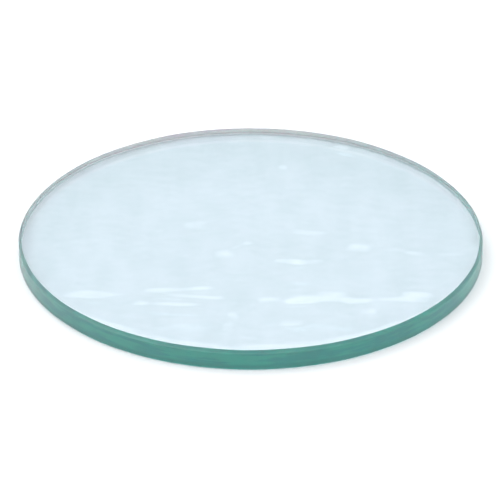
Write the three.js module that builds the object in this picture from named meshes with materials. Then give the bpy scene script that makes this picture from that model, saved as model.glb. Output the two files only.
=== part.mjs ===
// A flat watch glass: a round cover disc cut from clear float glass, with its edge ground all round.
// It is one piece of glass. Both faces are flat, the edge is square to them, and the two sharp
// corners are seamed off at 45 degrees, as a grinder leaves a disc that is safe to pick up.
//
// Units are millimetres and +Z is up. The origin is the centre of the underside, so the disc
// stands on z = 0 and +Z is the axis that the edge turns about.

import * as THREE from "three";

const DISC_DIAMETER = 100; // across the ground edge
const SHEET_THICKNESS = 4.8; // what a nominal 5 mm float sheet measures
const SEAM_WIDTH = 0.65; // taken off each corner, along the face and down the edge alike
const FACETS_ROUND_EDGE = 180; // 2 degrees each, so a facet lies within 0.01 mm of the true circle

// Half of the disc's section, from the middle of the underside round the edge to the middle of the
// top face: radius across, height up.
function discSection() {
  const edgeRadius = DISC_DIAMETER / 2;
  const faceRadius = edgeRadius - SEAM_WIDTH;
  return [
    new THREE.Vector2(0, 0),
    new THREE.Vector2(faceRadius, 0),
    new THREE.Vector2(edgeRadius, SEAM_WIDTH),
    new THREE.Vector2(edgeRadius, SHEET_THICKNESS - SEAM_WIDTH),
    new THREE.Vector2(faceRadius, SHEET_THICKNESS),
    new THREE.Vector2(0, SHEET_THICKNESS),
  ];
}

// Clear soda-lime glass: colourless through the faces, sea green where it is seen edge on.
function clearFloatGlass() {
  return new THREE.MeshStandardMaterial({
    color: 0xbfe3e4,
    roughness: 0.08,
    metalness: 0,
    transparent: true,
    opacity: 0.55,
  });
}

function glassDisc() {
  const geometry = new THREE.LatheGeometry(discSection(), FACETS_ROUND_EDGE);
  const disc = new THREE.Mesh(geometry, clearFloatGlass());
  disc.name = "glass_disc";
  disc.rotation.x = Math.PI / 2; // a lathe turns about +Y, and the disc's axis is +Z
  return disc;
}

const watchGlass = new THREE.Group();
watchGlass.add(glassDisc());

export default watchGlass;
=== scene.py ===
import math

import bpy
import numpy as np
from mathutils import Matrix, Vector


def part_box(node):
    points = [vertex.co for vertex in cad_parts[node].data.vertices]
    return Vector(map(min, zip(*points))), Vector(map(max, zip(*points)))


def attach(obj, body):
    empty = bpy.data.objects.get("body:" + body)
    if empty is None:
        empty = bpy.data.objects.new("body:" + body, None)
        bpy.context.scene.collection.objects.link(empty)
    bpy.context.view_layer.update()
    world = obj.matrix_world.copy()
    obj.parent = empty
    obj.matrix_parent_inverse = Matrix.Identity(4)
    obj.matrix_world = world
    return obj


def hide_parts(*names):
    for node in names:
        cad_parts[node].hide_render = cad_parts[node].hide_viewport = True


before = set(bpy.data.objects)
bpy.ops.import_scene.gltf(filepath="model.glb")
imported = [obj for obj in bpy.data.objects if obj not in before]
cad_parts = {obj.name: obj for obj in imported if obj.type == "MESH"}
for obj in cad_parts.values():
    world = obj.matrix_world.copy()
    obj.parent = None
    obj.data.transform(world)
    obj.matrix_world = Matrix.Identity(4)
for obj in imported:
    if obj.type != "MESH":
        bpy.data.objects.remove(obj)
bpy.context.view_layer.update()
scene = bpy.context.scene


# ---- The camera --------------------------------------------------------------------------------
# A long lens looks down on the disc at 29 degrees from about a metre away, so the round face shows
# as an ellipse and the near and far rims are almost parallel.
CAMERA_ELEVATION = math.radians(29.12)
CAMERA_DISTANCE = 1.023
CAMERA_AIM = Vector((-0.00015, 0.0, 0.00086))  # a little above the middle of the underside
LENS_MM = 341.1
SENSOR_MM = 36.0
CLIP_NEAR = 0.1
CLIP_FAR = 20.0

camera_data = bpy.data.cameras.new("camera")
camera_data.lens = LENS_MM
camera_data.sensor_width = SENSOR_MM
camera_data.clip_start = CLIP_NEAR
camera_data.clip_end = CLIP_FAR
camera = bpy.data.objects.new("camera", camera_data)
scene.collection.objects.link(camera)
toward_camera = Vector((0.0, -math.cos(CAMERA_ELEVATION), math.sin(CAMERA_ELEVATION)))
camera.location = CAMERA_AIM + CAMERA_DISTANCE * toward_camera
camera.rotation_mode = "QUATERNION"
camera.rotation_quaternion = (-toward_camera).to_track_quat("-Z", "Y")
scene.camera = camera


# ---- The glass disc ----------------------------------------------------------------------------
# One piece of clear soda-lime float glass. It is cut round, ground matt on the edge with a diamond
# wheel, and both corners are seamed off. The faces keep the sheet's own polish, which is not quite
# flat: it has a slow ream, a few low ripples, and it falls away a little all round the rim.
disc_low, disc_high = (np.array(corner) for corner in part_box("glass_disc"))
DISC_RADIUS = (disc_high[0] - disc_low[0]) / 2
DISC_THICKNESS = disc_high[2] - disc_low[2]
SEAM_WIDTH = 0.00065  # taken off each corner, along the face and down the edge alike
FACE_RADIUS = DISC_RADIUS - SEAM_WIDTH
CORNER_ROUND = 0.00010  # the wheel leaves each corner of a seam rounded to a tenth of a millimetre
SEAM_WANDER = 0.000035  # about how far a seam strays from its even width
SEAM_SEEDS = (21, 22)  # for the lower seam's stray and the upper one's
SEAM_CYCLES = 23  # the quickest of that stray, in cycles round the rim
GRIND_DEPTH = 0.000006  # of the shallow rings that the wheel leaves round the edge
GRIND_SEED = 100  # for the first ring, and one more for each ring over it
GRIND_CYCLES = 5  # the quickest change in a ring's depth, in cycles round the rim
GRIND_SWELL = 0.35  # how much of a ring's depth comes and goes
ROLL_WIDTH = 0.0026  # of the band inside the rim where the face falls away
ROLL_DROP = 0.000024  # how far it has fallen at the rim
BOX_MARGIN = 0.000001  # keeps the highest ripple just under the nominal thickness

COLUMNS = 480  # round the disc
TOP_RINGS = 128  # close enough for the ripples, under 0.4 mm apart
UNDER_RINGS = 14
CORNER_ROWS = 5  # round each of the four corners
CORNER_LEAD = 0.00003  # from a face's outermost ring to where its corner starts to turn
WALL_ROWS = 26  # up the edge between the seams
PEAK_GRID = 0.00025  # step of the grid on which the top face's highest point is looked for

# Ripples in the top face. Each has a near side that climbs evenly toward the back. In millimetres:
# middle of that side across and toward the back, half its length, half its width; then its lean in
# degrees and its slope in thousandths.
RIPPLES = (
    (-34.4, -26.0, 3.6, 1.3, -2, 15.0),
    (-15.6, -24.1, 5.6, 0.7, 6, 20.0),
    (-11.8, -27.1, 4.4, 0.6, -6, 23.5),
    (-16.0, -30.2, 4.6, 0.6, -2, 18.5),
    (-23.4, -29.4, 1.0, 0.8, 0, 11.0),
    (3.6, -29.0, 1.4, 1.0, 0, 12.6),
    (9.8, -29.2, 2.0, 0.8, 12, 13.2),
    (15.0, -27.2, 4.8, 1.6, 4, 14.2),
    (22.4, -29.2, 1.8, 1.0, 0, 14.0),
    (27.4, -28.6, 2.4, 0.6, 0, 15.4),
    (34.8, -27.4, 2.2, 1.8, 0, 15.2),
    (-11.6, 3.9, 2.4, 1.9, 0, 17.8),
    (-5.2, -9.0, 2.2, 1.8, 0, 15.8),
    (-2.0, -4.4, 1.7, 0.7, 25, 21.0),
    (12.8, 0.6, 3.0, 0.8, -12, 21.4),
    (23.4, -5.4, 2.0, 2.0, -10, 16.9),
    (7.6, -12.0, 1.9, 0.9, -4, 15.4),
    (12.8, -12.4, 2.1, 0.9, 0, 16.2),
    (32.4, -7.0, 2.2, 0.7, -8, 16.5),
    (40.4, -9.0, 5.0, 0.8, 2, 16.6),
    (24.2, -33.4, 1.5, 1.2, 0, 15.6),
    (-3.9, -35.4, 0.9, 1.8, 0, 13.2),
    (-4.6, -40.0, 0.9, 1.1, 0, 12.4),
    (8.6, -38.2, 1.7, 0.9, 0, 12.8),
    (7.2, 31.0, 1.0, 1.8, 0, 22.8),
    (20.4, 40.2, 1.6, 0.8, -25, 32.0),
)
RIPPLE_SOFT_SHARE = 0.3  # the climb's two ends are softened over this share of its half width
RIPPLE_SOFT_MORE = 0.15  # and this many millimetres
RIPPLE_WIDER = 1.1  # times that softness is added to the half width, to make up for it
RIPPLE_FALL = 4.0  # millimetres over which a trough or a crest returns to the face's level
RIPPLE_END = 1.75  # half lengths from a ripple's middle to where it dies away
RELIEF_FADE = 0.002  # of the band inside the rim where ream and ripples die away

# The ream: length of its waves in metres, their slope together, and how many there are.
REAM = ((0.0085, 0.0018, 10), (0.0042, 0.0017, 12))
REAM_SEED = 11
REAM_TURN = 0.40  # spread of the waves' directions, in radians
REAM_SPREAD = (0.7, 1.4)  # shortest and longest wave, as a share of the length given


def log_cosh(v):
    """The logarithm of cosh(v), written as |v| + log(1 + exp(-2|v|)) - log 2 so that it can't
    overflow."""
    return np.abs(v) + np.log1p(np.exp(-2 * np.abs(v))) - math.log(2)


def ripple_relief(x, y):
    """Height of the ripples at (x, y), in metres. With u along a ripple and v across it, toward the
    back, each is a trough and then a crest: the height climbs at the even slope from v = -half to
    +half, as half the soft width times the difference of two log cosh curves. Past that it returns
    to nothing as exp(-(|v| past half / RIPPLE_FALL)^2), and along its length it dies away as
    exp(-(u / (RIPPLE_END half lengths))^4). Thousandths of a millimetre are 1e-6 of a metre."""
    height = np.zeros_like(x)
    for across, depth, half_length, half_width, lean, slope in RIPPLES:
        turned = math.radians(lean)
        dx = x * 1000 - across
        dy = y * 1000 - depth
        u = dx * math.cos(turned) + dy * math.sin(turned)
        v = dy * math.cos(turned) - dx * math.sin(turned)
        soft = RIPPLE_SOFT_SHARE * half_width + RIPPLE_SOFT_MORE
        half = half_width + RIPPLE_WIDER * soft
        climb = soft / 2 * (log_cosh((v + half) / soft) - log_cosh((v - half) / soft))
        sink = np.exp(-(np.maximum(np.abs(v) - half, 0) / RIPPLE_FALL) ** 2)
        along = np.exp(-(u / (RIPPLE_END * half_length)) ** 4)
        height += slope * 1e-6 * climb * sink * along
    return height


def ream_relief(x, y):
    """The slow unevenness of floated sheet, in metres: a sum of sine waves of seeded direction,
    length and phase. Most of their crests run within 25 degrees of X. Each wave's height is its
    share of the slope over its wave number."""
    rng = np.random.default_rng(REAM_SEED)
    height = np.zeros_like(x)
    for wavelength, slope, count in REAM:
        for _ in range(count):
            crest = rng.normal(0, REAM_TURN)
            k = 2 * math.pi / (wavelength * rng.uniform(*REAM_SPREAD))
            phase = rng.uniform(0, 2 * math.pi)
            wave = np.sin(k * (x * math.sin(crest) + y * math.cos(crest)) + phase)
            height += slope / k * math.sqrt(2 / count) * wave
    return height


def top_face_relief(x, y):
    """Height of the top face over its level: the ream and the ripples, faded out over RELIEF_FADE
    before the rim as 3 f^2 - 2 f^3, less the roll, which is ROLL_DROP times the square of how far
    (x, y) is into ROLL_WIDTH."""
    r = np.hypot(x, y)
    into_roll = np.clip(1 - (FACE_RADIUS - r) / ROLL_WIDTH, 0, 1)
    fade = np.clip((FACE_RADIUS - CORNER_ROUND - r) / RELIEF_FADE, 0, 1)
    relief = (ream_relief(x, y) + ripple_relief(x, y)) * fade * fade * (3 - 2 * fade)
    return relief - ROLL_DROP * into_roll**2


def rounded_path(corners, radius, steps):
    """Points along a polyline whose inner corners are arcs: each arc touches its two sides at
    radius / tan(half the corner's angle) from the corner, and its points are equal turns apart."""
    points = [corners[0]]
    for before, here, after in zip(corners[:-2], corners[1:-1], corners[2:]):
        back = (before - here) / np.linalg.norm(before - here)
        on = (after - here) / np.linalg.norm(after - here)
        half = np.arccos(np.clip(back @ on, -1, 1)) / 2
        middle = here + (back + on) / np.linalg.norm(back + on) * radius / np.sin(half)
        start = here + back * radius / np.tan(half) - middle
        end = here + on * radius / np.tan(half) - middle
        whole_turn = np.arctan2(start[0] * end[1] - start[1] * end[0], start @ end)
        turn = np.linspace(0, whole_turn, steps)
        arc = np.stack([start[0] * np.cos(turn) - start[1] * np.sin(turn),
                        start[0] * np.sin(turn) + start[1] * np.cos(turn)], 1)
        points.extend(middle + arc)
    points.append(corners[-1])
    return np.array(points)


def disc_profile(rim_height):
    """Half the section as rows of (radius, height), from near the middle of the underside, round
    the edge, to near the middle of the top, and how ground each row is: 0 on the faces, 1 on the
    seams and the edge, and evenly between them round the face's corner."""
    inset = FACE_RADIUS - 3 * CORNER_ROUND
    corners = np.array([(inset, 0), (FACE_RADIUS, 0), (DISC_RADIUS, SEAM_WIDTH),
                        (DISC_RADIUS, rim_height - SEAM_WIDTH), (FACE_RADIUS, rim_height),
                        (inset, rim_height)], float)
    edge = rounded_path(corners, CORNER_ROUND, CORNER_ROWS)[1:-1]
    lower, upper = edge[:2 * CORNER_ROWS], edge[2 * CORNER_ROWS:]
    wall = np.linspace(lower[-1], upper[0], WALL_ROWS + 2)[1:-1]
    reach = lower[0, 0] - CORNER_LEAD
    under = np.linspace(0, reach, UNDER_RINGS + 1)[1:]
    over = np.linspace(0, reach, TOP_RINGS + 1)[:0:-1]
    rows = np.concatenate([np.stack([under, np.zeros_like(under)], 1), lower, wall, upper,
                           np.stack([over, np.full_like(over, rim_height)], 1)])
    onto_edge = np.linspace(0, 1, CORNER_ROWS)
    ground = np.concatenate([np.zeros(UNDER_RINGS), onto_edge,
                             np.ones(2 * CORNER_ROWS + WALL_ROWS),
                             onto_edge[::-1], np.zeros(TOP_RINGS)])
    return rows, ground


def round_the_rim(angle, seed, cycles):
    """A slow stray round the rim, mostly between -1 and 1: the sum of sine waves of 2, 3 and so on
    up to the given number of cycles, with seeded strengths and phases, so it closes on itself."""
    rng = np.random.default_rng(seed)
    count = np.arange(2, cycles + 1)[:, None]
    strength = rng.normal(0, 1, count.shape) / np.sqrt(len(count))
    phase = rng.uniform(0, 2 * math.pi, count.shape)
    return (strength * np.sin(count * angle + phase)).sum(0)


def grind_rings(rows, angle):
    """Depth of the rings that the wheel leaves, from 0 to 1: a half, plus GRIND_SWELL times a stray
    of each row's own, so that it swells and fades slowly on its way round."""
    stray = [round_the_rim(angle, GRIND_SEED + row, GRIND_CYCLES) for row in range(rows)]
    return np.clip(0.5 + GRIND_SWELL * np.stack(stray), 0, 1)


def relief_peak():
    """The highest point of the top face's relief, in metres: the largest value on a square grid."""
    line = np.arange(-FACE_RADIUS, FACE_RADIUS, PEAK_GRID)
    x, y = np.meshgrid(line, line)
    return top_face_relief(x, y).max()


def glass_disc_mesh(name):
    """The closed disc. The section is turned through COLUMNS equal steps. On the faces and seams a
    row's radius strays with the seam, most at the corner between them. The wall is cut in by the
    grind rings. The top rows take their height from the relief, and each pole is one point with a
    fan round it."""
    level = DISC_THICKNESS - relief_peak() - BOX_MARGIN
    profile, ground = disc_profile(level - ROLL_DROP)
    rows = len(profile)
    angle = np.arange(COLUMNS) * 2 * math.pi / COLUMNS
    radius = np.repeat(profile[:, :1], COLUMNS, 1)
    z = np.repeat(profile[:, 1:], COLUMNS, 1)
    lower_stray, upper_stray = (round_the_rim(angle, seed, SEAM_CYCLES) for seed in SEAM_SEEDS)
    stray = np.where(z < DISC_THICKNESS / 2, lower_stray, upper_stray)
    share = np.minimum((DISC_RADIUS - radius) / SEAM_WIDTH, radius / FACE_RADIUS)
    radius += SEAM_WANDER * stray * share
    foot = UNDER_RINGS + 2 * CORNER_ROWS
    wall = slice(foot, foot + WALL_ROWS)
    radius[wall] -= GRIND_DEPTH * grind_rings(WALL_ROWS, angle)
    x = radius * np.cos(angle)
    y = radius * np.sin(angle)
    face = slice(rows - TOP_RINGS, rows)
    z[face] = level + top_face_relief(x[face], y[face])
    poles = [[0, 0, 0], [0, 0, level + top_face_relief(np.zeros(1), np.zeros(1))[0]]]
    points = np.concatenate([np.stack([x, y, z], -1).reshape(-1, 3), poles])

    here = np.arange(COLUMNS)
    following = (here + 1) % COLUMNS
    row = np.arange(rows - 1)[:, None] * COLUMNS
    above = row + COLUMNS
    quads = np.stack([row + here, row + following, above + following, above + here], -1)
    under_pole = np.full(COLUMNS, len(points) - 2)
    under_fan = np.stack([under_pole, following, here], -1)
    last_ring = (rows - 1) * COLUMNS
    top_fan = np.stack([under_pole + 1, last_ring + here, last_ring + following], -1)
    corners = np.concatenate([quads.ravel(), under_fan.ravel(), top_fan.ravel()])
    sides = np.concatenate([np.full((rows - 1) * COLUMNS, 4), np.full(2 * COLUMNS, 3)])

    mesh = bpy.data.meshes.new(name)
    mesh.vertices.add(len(points))
    mesh.vertices.foreach_set("co", points.ravel())
    mesh.loops.add(len(corners))
    mesh.loops.foreach_set("vertex_index", corners)
    mesh.polygons.add(len(sides))
    mesh.polygons.foreach_set("loop_start", np.cumsum(sides) - sides)
    mesh.polygons.foreach_set("loop_total", sides)
    mesh.polygons.foreach_set("use_smooth", np.ones(len(sides), bool))
    mesh.update(calc_edges=True)
    ground_layer = mesh.attributes.new("ground", "FLOAT", "POINT")
    ground_layer.data.foreach_set("value", np.append(np.repeat(ground, COLUMNS), [0, 0]))
    return mesh


def node(tree, kind, settings=None, inputs=None):
    """One shader node. settings are its own properties. inputs are its sockets, by name or number:
    another node's output is linked there, and anything else is set as the socket's value."""
    made = tree.nodes.new(kind)
    for name, value in (settings or {}).items():
        setattr(made, name, value)
    for socket, value in (inputs or {}).items():
        if isinstance(value, bpy.types.NodeSocket):
            tree.links.new(value, made.inputs[socket])
        else:
            made.inputs[socket].default_value = value
    return made


def smooth_step(tree, value, start, full, low=0.0, high=1.0):
    """low + (high - low) * (3 t^2 - 2 t^3), where t is how far value has gone from start to full,
    held within 0 and 1."""
    return node(tree, "ShaderNodeMapRange", {"interpolation_type": "SMOOTHSTEP"},
                {"Value": value, "From Min": start, "From Max": full,
                 "To Min": low, "To Max": high}).outputs[0]


def blend(tree, share, first, second):
    """The colour (1 - share) * first + share * second."""
    return node(tree, "ShaderNodeMix", {"data_type": "RGBA"},
                {0: share, 6: first, 7: second}).outputs[2]


def noise(tree, place, cells, detail, roughness):
    """Fractal noise at place * cells, where cells are how many blotches there are to a metre along
    X, Y and Z. Each of the detail's finer layers is weaker than the last by the roughness."""
    at = node(tree, "ShaderNodeMapping", None, {"Vector": place, "Scale": cells}).outputs[0]
    return node(tree, "ShaderNodeTexNoise", None,
                {"Vector": at, "Scale": 1.0, "Detail": detail,
                 "Roughness": roughness}).outputs["Fac"]


def calculate(tree, operation, *numbers):
    """The operation on the numbers, in their order: MULTIPLY_ADD is first * second + third."""
    return node(tree, "ShaderNodeMath", {"operation": operation},
                dict(enumerate(numbers))).outputs[0]


GLASS_IOR = 1.52
GLASS_ABSORBS = (33.0, 5.6, 8.0)  # red, green and blue, per metre: iron in the melt takes the red

FACE_CLEAR = (0.968, 0.891, 0.938, 1)  # what the polished faces let through
FACE_FILM_AND_SHADE = (0.879, 0.829, 0.865, 1)  # and where they carry a faint film of handling and water; the same tint is also painted shade toward the rim
POLISH = (0.008, 0.035)  # roughness of the clean face and of the film
SMEAR_CELLS = (170, 230, 1)  # to a metre, along X, Y and Z
SMEAR_RANGE = (0.42, 0.60)  # the noise at which a smear starts, and at which it is full
RIM_SHADE_SHARE = 0.45  # of the face's tint that is painted shade, lying only toward the sides and the back
RIM_SHADE_FROM = -0.24  # in disc radii along Y, the point that this painted shade is faintest about
RIM_SHADE_REACH = (0.66, 1.16)  # in disc radii from there, where it starts and where it is full

GROUND_LIGHT = (0.65, 0.532, 0.508, 1)  # what the ground edge lets through, where it is clean
GROUND_DULL = (0.53, 0.365, 0.433, 1)  # and where grinding dust stays in the pits
FOOT_SHADE_GREY = (0.54, 0.33, 0.36, 1)  # painted shade: the foot of the wall, darkened where it meets the bench
FOOT_SHADE_HEIGHT = (0.0010, 0.0019)  # up to where that painted shade is full, and where it has faded out
SEAM_GREY = (0.80, 0.73, 0.77, 1)  # the lower seam, which the wheel cut less deeply than the wall
SEAM_FADE = (1.1, 0.7)  # in seam widths from the face, where a seam starts and where it is full
LINE_CELLS = (45, 45, 3000)  # to a metre, for the wheel's lines: long round the edge, thin up it
LINE_RANGE = (0.3, 0.7)  # the noise over which GROUND_ROUGH rises from its first value to its last
DUST_CELLS = (110, 110, 650)  # to a metre, for the patches of grinding dust
DUST_RANGE = (0.40, 0.60)  # the noise at which a patch starts, and at which it is full
LINES_IN_DUST = 0.3  # of the lines' own noise is added to the dust's, so that they show in it
GRAIN_DEPTH = 0.000014  # of the lines
GROUND_ROUGH = (0.80, 0.90)  # roughness of the ground edge, between its lines and on them
GROUND_GLAZE = 0.75  # how much of the wall is still smooth enough to shine along it
GLAZE_ROUGH = 0.3  # roughness of that shine
UPPER_SEAM_DULL = 0.7  # how much of that shine the upper seam lacks


def float_glass():
    """Clear glass with iron's green in its depth. The ground attribute tells the matt edge from the
    polished faces. The faces carry a film in soft smears, and in the same tint a painted shade
    that darkens them with distance from a point toward the front. The edge has fine lines round it,
    from noise that is slow along X and Y and quick along Z, and longer patches of grinding dust. A
    painted shade darkens the foot of the wall, where it meets the bench, and the lower seam is
    lighter. The wall has a thin shine, the upper seam little and the lower seam none."""
    material = bpy.data.materials.new("float_glass")
    material.use_nodes = True
    tree = material.node_tree
    tree.nodes.clear()
    place = node(tree, "ShaderNodeTexCoord").outputs["Object"]
    ground = node(tree, "ShaderNodeAttribute", {"attribute_name": "ground"}).outputs["Fac"]

    smears = smooth_step(tree, noise(tree, place, SMEAR_CELLS, 3.0, 0.6), *SMEAR_RANGE)
    # painted shade: the face darkens toward the sides and the back, where the bench under the rim
    # lies in shade; it takes the film's tint and roughness
    flat = node(tree, "ShaderNodeVectorMath", {"operation": "MULTIPLY"}, {0: place, 1: (1, 1, 0)})
    from_front = node(tree, "ShaderNodeVectorMath", {"operation": "DISTANCE"},
                      {0: flat.outputs[0], 1: (0, RIM_SHADE_FROM * DISC_RADIUS, 0)})
    starts, full = (reach * DISC_RADIUS for reach in RIM_SHADE_REACH)
    rim_shade = smooth_step(tree, from_front.outputs["Value"], starts, full, high=RIM_SHADE_SHARE)
    # the film's smears together with the painted shade toward the rim
    film_and_shade = calculate(tree, "MULTIPLY_ADD", smears, 1 - RIM_SHADE_SHARE, rim_shade)
    face_colour = blend(tree, film_and_shade, FACE_CLEAR, FACE_FILM_AND_SHADE)
    face_rough = node(tree, "ShaderNodeMapRange", None,
                      {"Value": film_and_shade, "To Min": POLISH[0], "To Max": POLISH[1]})

    lines = noise(tree, place, LINE_CELLS, 3.0, 0.65)
    dust = noise(tree, place, DUST_CELLS, 4.0, 0.6)
    pits = calculate(tree, "MULTIPLY_ADD", lines, LINES_IN_DUST, -LINES_IN_DUST / 2)
    dulled = smooth_step(tree, calculate(tree, "ADD", dust, pits), *DUST_RANGE)
    edge_colour = blend(tree, dulled, GROUND_LIGHT, GROUND_DULL)
    height = node(tree, "ShaderNodeSeparateXYZ", None, {0: place}).outputs["Z"]
    seam_starts, seam_full = (SEAM_WIDTH * share for share in SEAM_FADE)
    lower_seam = smooth_step(tree, height, seam_starts, seam_full)
    # painted shade: the foot of the wall is darkened where it meets the bench
    shade_full, shade_ends = FOOT_SHADE_HEIGHT
    foot_shade = smooth_step(tree, height, shade_ends, shade_full)
    wall_colour = blend(tree, foot_shade, edge_colour, FOOT_SHADE_GREY)
    seam_colour = blend(tree, lower_seam, wall_colour, SEAM_GREY)
    edge_rough = node(tree, "ShaderNodeMapRange", None,
                      {"Value": lines, "From Min": LINE_RANGE[0], "From Max": LINE_RANGE[1],
                       "To Min": GROUND_ROUGH[0], "To Max": GROUND_ROUGH[1]})

    colour = blend(tree, ground, face_colour, seam_colour)
    rough = node(tree, "ShaderNodeMix", {"data_type": "FLOAT"},
                 {0: ground, 2: face_rough.outputs[0], 3: edge_rough.outputs[0]})
    grain = node(tree, "ShaderNodeBump", None,
                 {"Strength": ground, "Distance": GRAIN_DEPTH, "Height": lines})
    upper_seam = smooth_step(tree, height, DISC_THICKNESS - seam_starts,
                             DISC_THICKNESS - seam_full, high=UPPER_SEAM_DULL)
    over_seam = calculate(tree, "SUBTRACT", ground, lower_seam)
    wall = calculate(tree, "SUBTRACT", over_seam, upper_seam)
    glaze = node(tree, "ShaderNodeMath", {"operation": "MULTIPLY", "use_clamp": True},
                 {0: wall, 1: GROUND_GLAZE})
    surface = node(tree, "ShaderNodeBsdfPrincipled", None,
                   {"Base Color": colour, "Roughness": rough.outputs[0], "IOR": GLASS_IOR,
                    "Transmission Weight": 1.0, "Normal": grain.outputs[0],
                    "Coat Weight": glaze.outputs[0], "Coat Roughness": GLAZE_ROUGH})
    most = max(GLASS_ABSORBS)
    passes = tuple(1 - part / most for part in GLASS_ABSORBS) + (1,)
    depth = node(tree, "ShaderNodeVolumeAbsorption", None, {"Color": passes, "Density": most})
    node(tree, "ShaderNodeOutputMaterial", None,
         {"Surface": surface.outputs[0], "Volume": depth.outputs[0]})
    return material


watch_glass = bpy.data.objects.new("watch_glass", glass_disc_mesh("watch_glass"))
scene.collection.objects.link(watch_glass)
watch_glass.data.materials.append(float_glass())
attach(watch_glass, "root")
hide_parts("glass_disc")


# ---- The bench ---------------------------------------------------------------------------------
# A plain matt white laminate top, large enough to fill every view. The disc lies on it by its own
# weight, with the hair's breadth of air that there is under any plate of glass.
BENCH_HALF = 20.0
AIR_GAP = 0.00005
BENCH_WHITE = (0.630, 0.642, 0.630, 1)  # comes out about white under the studio's light
BENCH_ROUGH = 0.9


def bench_mesh(name):
    """One square face, BENCH_HALF each way from the disc's axis, AIR_GAP under the disc."""
    mesh = bpy.data.meshes.new(name)
    ends = np.array([(-1, -1), (1, -1), (1, 1), (-1, 1)]) * BENCH_HALF
    mesh.from_pydata(np.c_[ends, np.full(4, -AIR_GAP)], [], [(0, 1, 2, 3)])
    return mesh


def bench_laminate():
    """Matt white without gloss."""
    material = bpy.data.materials.new("bench_laminate")
    material.use_nodes = True
    surface = material.node_tree.nodes["Principled BSDF"]
    surface.inputs["Base Color"].default_value = BENCH_WHITE
    surface.inputs["Roughness"].default_value = BENCH_ROUGH
    surface.inputs["Specular IOR Level"].default_value = 0.0
    return material


bench = bpy.data.objects.new("bench", bench_mesh("bench"))
scene.collection.objects.link(bench)
bench.data.materials.append(bench_laminate())


# ---- The studio --------------------------------------------------------------------------------
# A white tent: the room up to 31 degrees, with more light at its left and right ends, and over it
# one large soft box that brightens toward the top. The left half of it all is the brighter. Ripples
# in the glass that tilt back far enough mirror the soft box's lower edge.
ROOM_LIGHT = 0.8
BOX_LIGHT = 2.0
TOP_LIGHT = 2.6
BOX_EDGE = (30.4, 31.6)  # degrees up, from where it starts to where it is full
SIDE_LIGHT = 1.4  # the room's at its left and right ends
SIDE_REACH = (0.5, 0.9)  # a direction's |x|, from where it starts to where it is full
LEFT_SHARE = 0.48  # of all the light, added at the far left and taken off at the far right
LIGHT_COLOUR = (1.0, 1.0, 1.05, 1)  # a white with a little blue in it
LIGHT_BOUNCES = 32  # light is turned back many times inside the glass before it leaves
DIFFUSE_BOUNCES = 6


def studio_light():
    """Strength by direction (x, y, z). Up to BOX_EDGE it is the room's, ROOM_LIGHT rising smoothly
    to SIDE_LIGHT as |x| goes through SIDE_REACH. Over BOX_EDGE it is BOX_LIGHT, rising smoothly to
    TOP_LIGHT straight up. All of it is multiplied by 1 - LEFT_SHARE * x."""
    world = bpy.data.worlds.new("studio")
    world.use_nodes = True
    tree = world.node_tree
    direction = node(tree, "ShaderNodeTexCoord").outputs["Generated"]
    parts = node(tree, "ShaderNodeSeparateXYZ", None, {0: direction}).outputs
    edge_low, edge_high = (math.sin(math.radians(degrees)) for degrees in BOX_EDGE)
    aside = calculate(tree, "ABSOLUTE", parts["X"])
    room = smooth_step(tree, aside, *SIDE_REACH, ROOM_LIGHT, SIDE_LIGHT)
    box = smooth_step(tree, parts["Z"], edge_low, edge_high, room, BOX_LIGHT)
    top = smooth_step(tree, parts["Z"], edge_high, 1.0, 0.0, TOP_LIGHT - BOX_LIGHT)
    both = calculate(tree, "ADD", box, top)
    side = calculate(tree, "MULTIPLY_ADD", parts["X"], -LEFT_SHARE, 1.0)
    strength = calculate(tree, "MULTIPLY", both, side)
    background = tree.nodes["Background"]
    background.inputs["Color"].default_value = LIGHT_COLOUR
    tree.links.new(strength, background.inputs["Strength"])
    return world


scene.world = studio_light()
scene.view_settings.view_transform = "Standard"
scene.cycles.blur_glossy = 0.0  # light that has passed the ground edge keeps its full strength
scene.cycles.max_bounces = LIGHT_BOUNCES
scene.cycles.transmission_bounces = LIGHT_BOUNCES
scene.cycles.glossy_bounces = LIGHT_BOUNCES
scene.cycles.diffuse_bounces = DIFFUSE_BOUNCES
